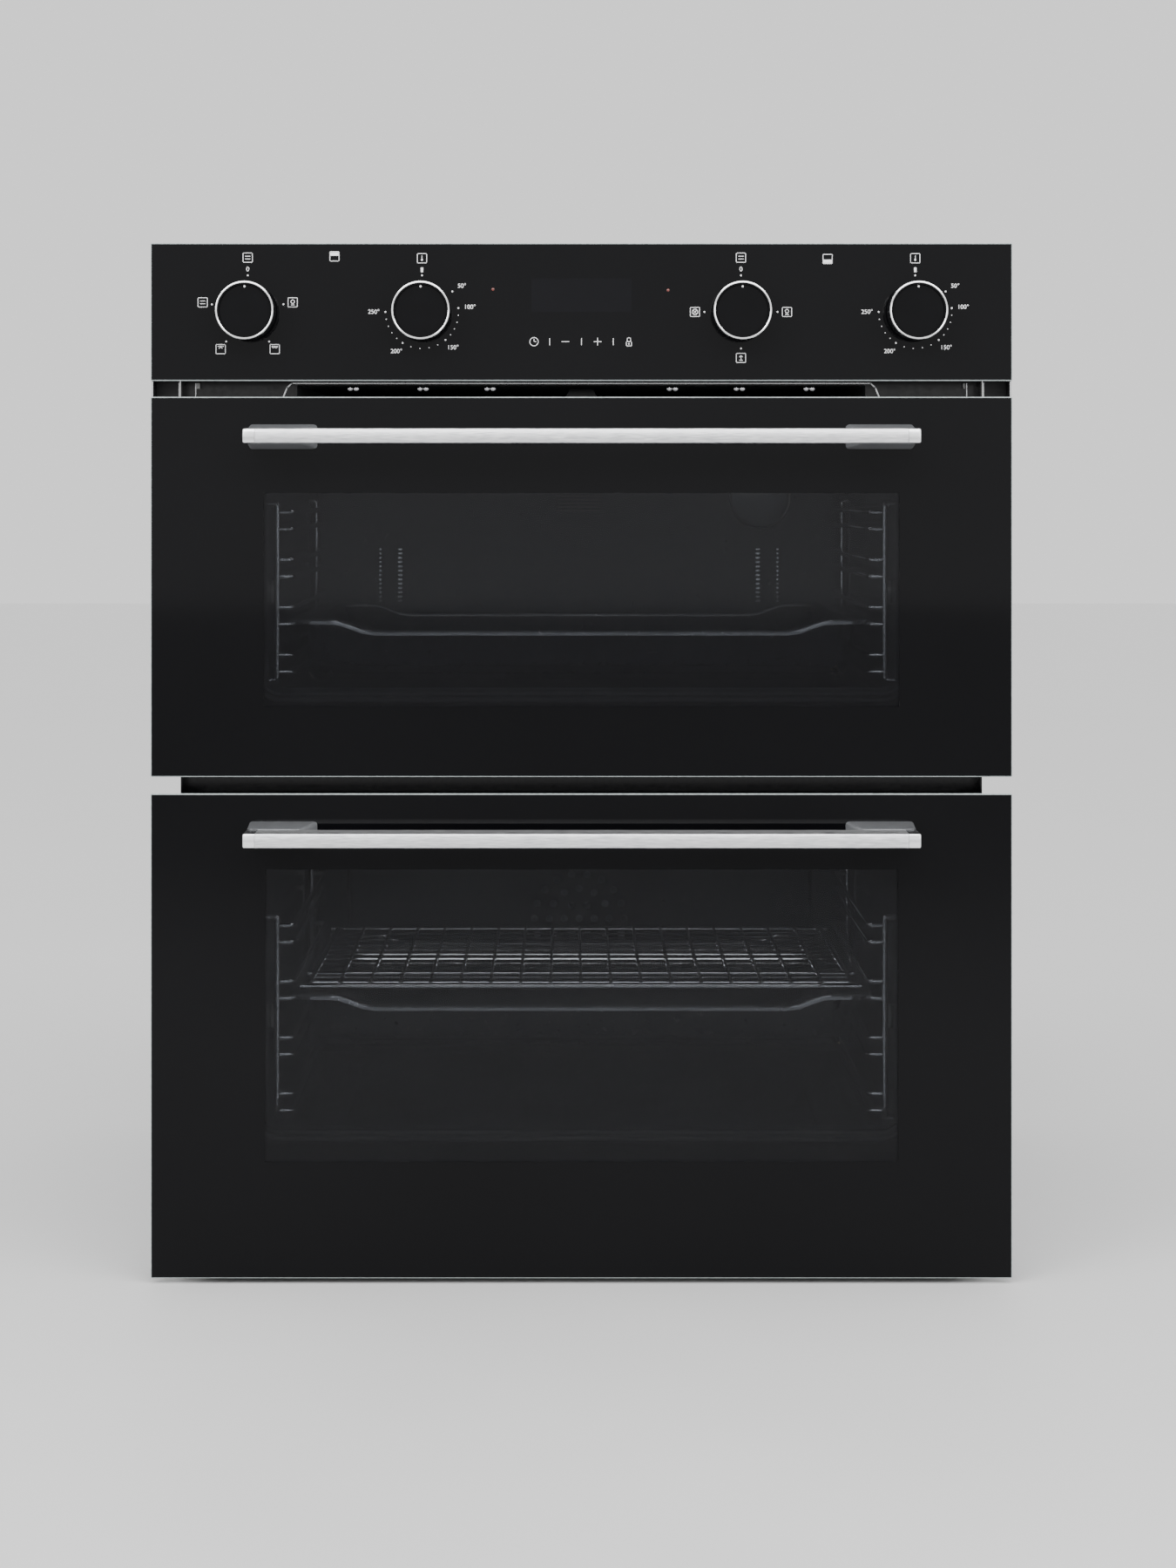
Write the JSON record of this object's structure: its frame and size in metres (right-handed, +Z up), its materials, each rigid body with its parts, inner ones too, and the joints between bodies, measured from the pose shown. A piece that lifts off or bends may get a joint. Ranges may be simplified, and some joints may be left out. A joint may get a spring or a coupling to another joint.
{
  "type": "built-in double oven",
  "caption": "Built-under double oven with drop-down black glass doors, brushed bar handles, a glass control panel with rotary knobs, racks, trays, grill, fan and cooling duct.",
  "frame": {"origin": "on the floor plane, under the middle of the oven's overall box", "axes": "+Z up, -Y towards the user (the doors' side), +X to the user's right"},
  "size_m": [0.594, 0.5842, 0.717],
  "materials": {
    "galvanised_steel": "zinc coated sheet steel",
    "black_glass": "black printed toughened glass",
    "inner_glass": "clear toughened glass",
    "black_enamel": "black vitreous enamel on steel",
    "frame_steel": "black painted steel",
    "chromed_wire": "polished chromed wire",
    "brushed_aluminium": "brushed and anodised",
    "polished_alloy": "polished cast alloy",
    "knob_plastic": "gloss black with a polished ring",
    "black_plastic": "moulded black plastic",
    "switch_body": "moulded phenolic",
    "hinge_steel": "zinc passivated steel",
    "heater_sheath": "heat-darkened tube",
    "seal_rubber": "matt heat-proof elastomer",
    "glass_wool": "mineral wool blanket",
    "lamp_glass": "clear lens"
  },
  "bodies": {
    "oven": {"base_plate": "galvanised_steel", "left_side_panel": "galvanised_steel", "right_side_panel": "galvanised_steel", "rear_panel": "galvanised_steel", "top_cover": "galvanised_steel", "front_frame": "frame_steel", "insulation_wrap": "glass_wool", "upper_cavity": "black_enamel", "lower_cavity": "black_enamel", "upper_lamp": "lamp_glass", "lower_lamp": "lamp_glass", "upper_door_seal": "seal_rubber", "lower_door_seal": "seal_rubber", "upper_rack_left": "chromed_wire", "upper_rack_right": "chromed_wire", "lower_rack_left": "chromed_wire", "lower_rack_right": "chromed_wire", "upper_hinge_arm_left": "hinge_steel", "upper_hinge_arm_right": "hinge_steel", "lower_hinge_arm_left": "hinge_steel", "lower_hinge_arm_right": "hinge_steel", "grill_element": "heater_sheath", "fan_element": "heater_sheath", "fan_baffle": "black_enamel", "fan_motor": "hinge_steel", "cooling_duct": "galvanised_steel", "blower_motor": "hinge_steel", "control_glass": "black_glass", "control_carrier": "frame_steel", "timer_module": "black_plastic", "terminal_block": "black_plastic", "upper_function_switch": "switch_body", "upper_temperature_switch": "switch_body", "lower_function_switch": "switch_body", "lower_temperature_switch": "switch_body"},
    "upper_door": {"upper_door_glass": "black_glass", "upper_door_frame": "frame_steel", "upper_door_inner_glass": "inner_glass", "upper_handle_bar": "brushed_aluminium", "upper_handle_left_end": "polished_alloy", "upper_handle_right_end": "polished_alloy"},
    "lower_door": {"lower_door_glass": "black_glass", "lower_door_frame": "frame_steel", "lower_door_inner_glass": "inner_glass", "lower_handle_bar": "brushed_aluminium", "lower_handle_left_end": "polished_alloy", "lower_handle_right_end": "polished_alloy"},
    "upper_function_dial": {"upper_function_knob": "knob_plastic", "upper_function_spindle": "hinge_steel"},
    "upper_temperature_dial": {"upper_temperature_knob": "knob_plastic", "upper_temperature_spindle": "hinge_steel"},
    "lower_function_dial": {"lower_function_knob": "knob_plastic", "lower_function_spindle": "hinge_steel"},
    "lower_temperature_dial": {"lower_temperature_knob": "knob_plastic", "lower_temperature_spindle": "hinge_steel"},
    "hot_air_fan": {"fan_impeller": "galvanised_steel"},
    "cooling_blower": {"blower_impeller": "galvanised_steel"},
    "upper_tray_body": {"upper_tray": "black_enamel"},
    "lower_tray_body": {"lower_tray": "black_enamel"},
    "grid_body": {"wire_grid": "chromed_wire"}
  },
  "joints": [
    {"name": "upper_door_hinge", "type": "hinge", "parent": "oven", "child": "upper_door", "pos_m": [0, -0.23515, 0.358], "axis": [1, 0, 0], "range_deg": [0, 90], "stiffness_Nm_per_rad": 3, "springref_deg": -20.05},
    {"name": "lower_door_hinge", "type": "hinge", "parent": "oven", "child": "lower_door", "pos_m": [0, -0.23515, 0.0125], "axis": [1, 0, 0], "range_deg": [0, 90], "stiffness_Nm_per_rad": 3, "springref_deg": -20.05},
    {"name": "upper_function_turn", "type": "hinge", "parent": "oven", "child": "upper_function_dial", "pos_m": [-0.23, -0.24715, 0.6695], "axis": [0, 1, 0], "continuous": true},
    {"name": "upper_temperature_turn", "type": "hinge", "parent": "oven", "child": "upper_temperature_dial", "pos_m": [-0.1099, -0.24715, 0.6695], "axis": [0, 1, 0], "range_deg": [0, 270]},
    {"name": "lower_function_turn", "type": "hinge", "parent": "oven", "child": "lower_function_dial", "pos_m": [0.1099, -0.24715, 0.6695], "axis": [0, 1, 0], "continuous": true},
    {"name": "lower_temperature_turn", "type": "hinge", "parent": "oven", "child": "lower_temperature_dial", "pos_m": [0.23, -0.24715, 0.6695], "axis": [0, 1, 0], "range_deg": [0, 270]},
    {"name": "hot_air_fan_spin", "type": "hinge", "parent": "oven", "child": "hot_air_fan", "pos_m": [0, 0.18415, 0.1955], "axis": [0, 1, 0], "continuous": true},
    {"name": "cooling_blower_spin", "type": "hinge", "parent": "oven", "child": "cooling_blower", "pos_m": [0, 0.17215, 0.6415], "axis": [1, 0, 0], "continuous": true},
    {"name": "upper_tray_slide", "type": "slide", "parent": "oven", "child": "upper_tray_body", "axis": [0, -1, 0], "range_m": [0, 0.018]},
    {"name": "lower_tray_slide", "type": "slide", "parent": "oven", "child": "lower_tray_body", "axis": [0, -1, 0], "range_m": [0, 0.018]},
    {"name": "wire_grid_lift", "type": "slide", "parent": "lower_tray_body", "child": "grid_body", "axis": [0, 0, 1], "range_m": [0, 0.03]}
  ]
}
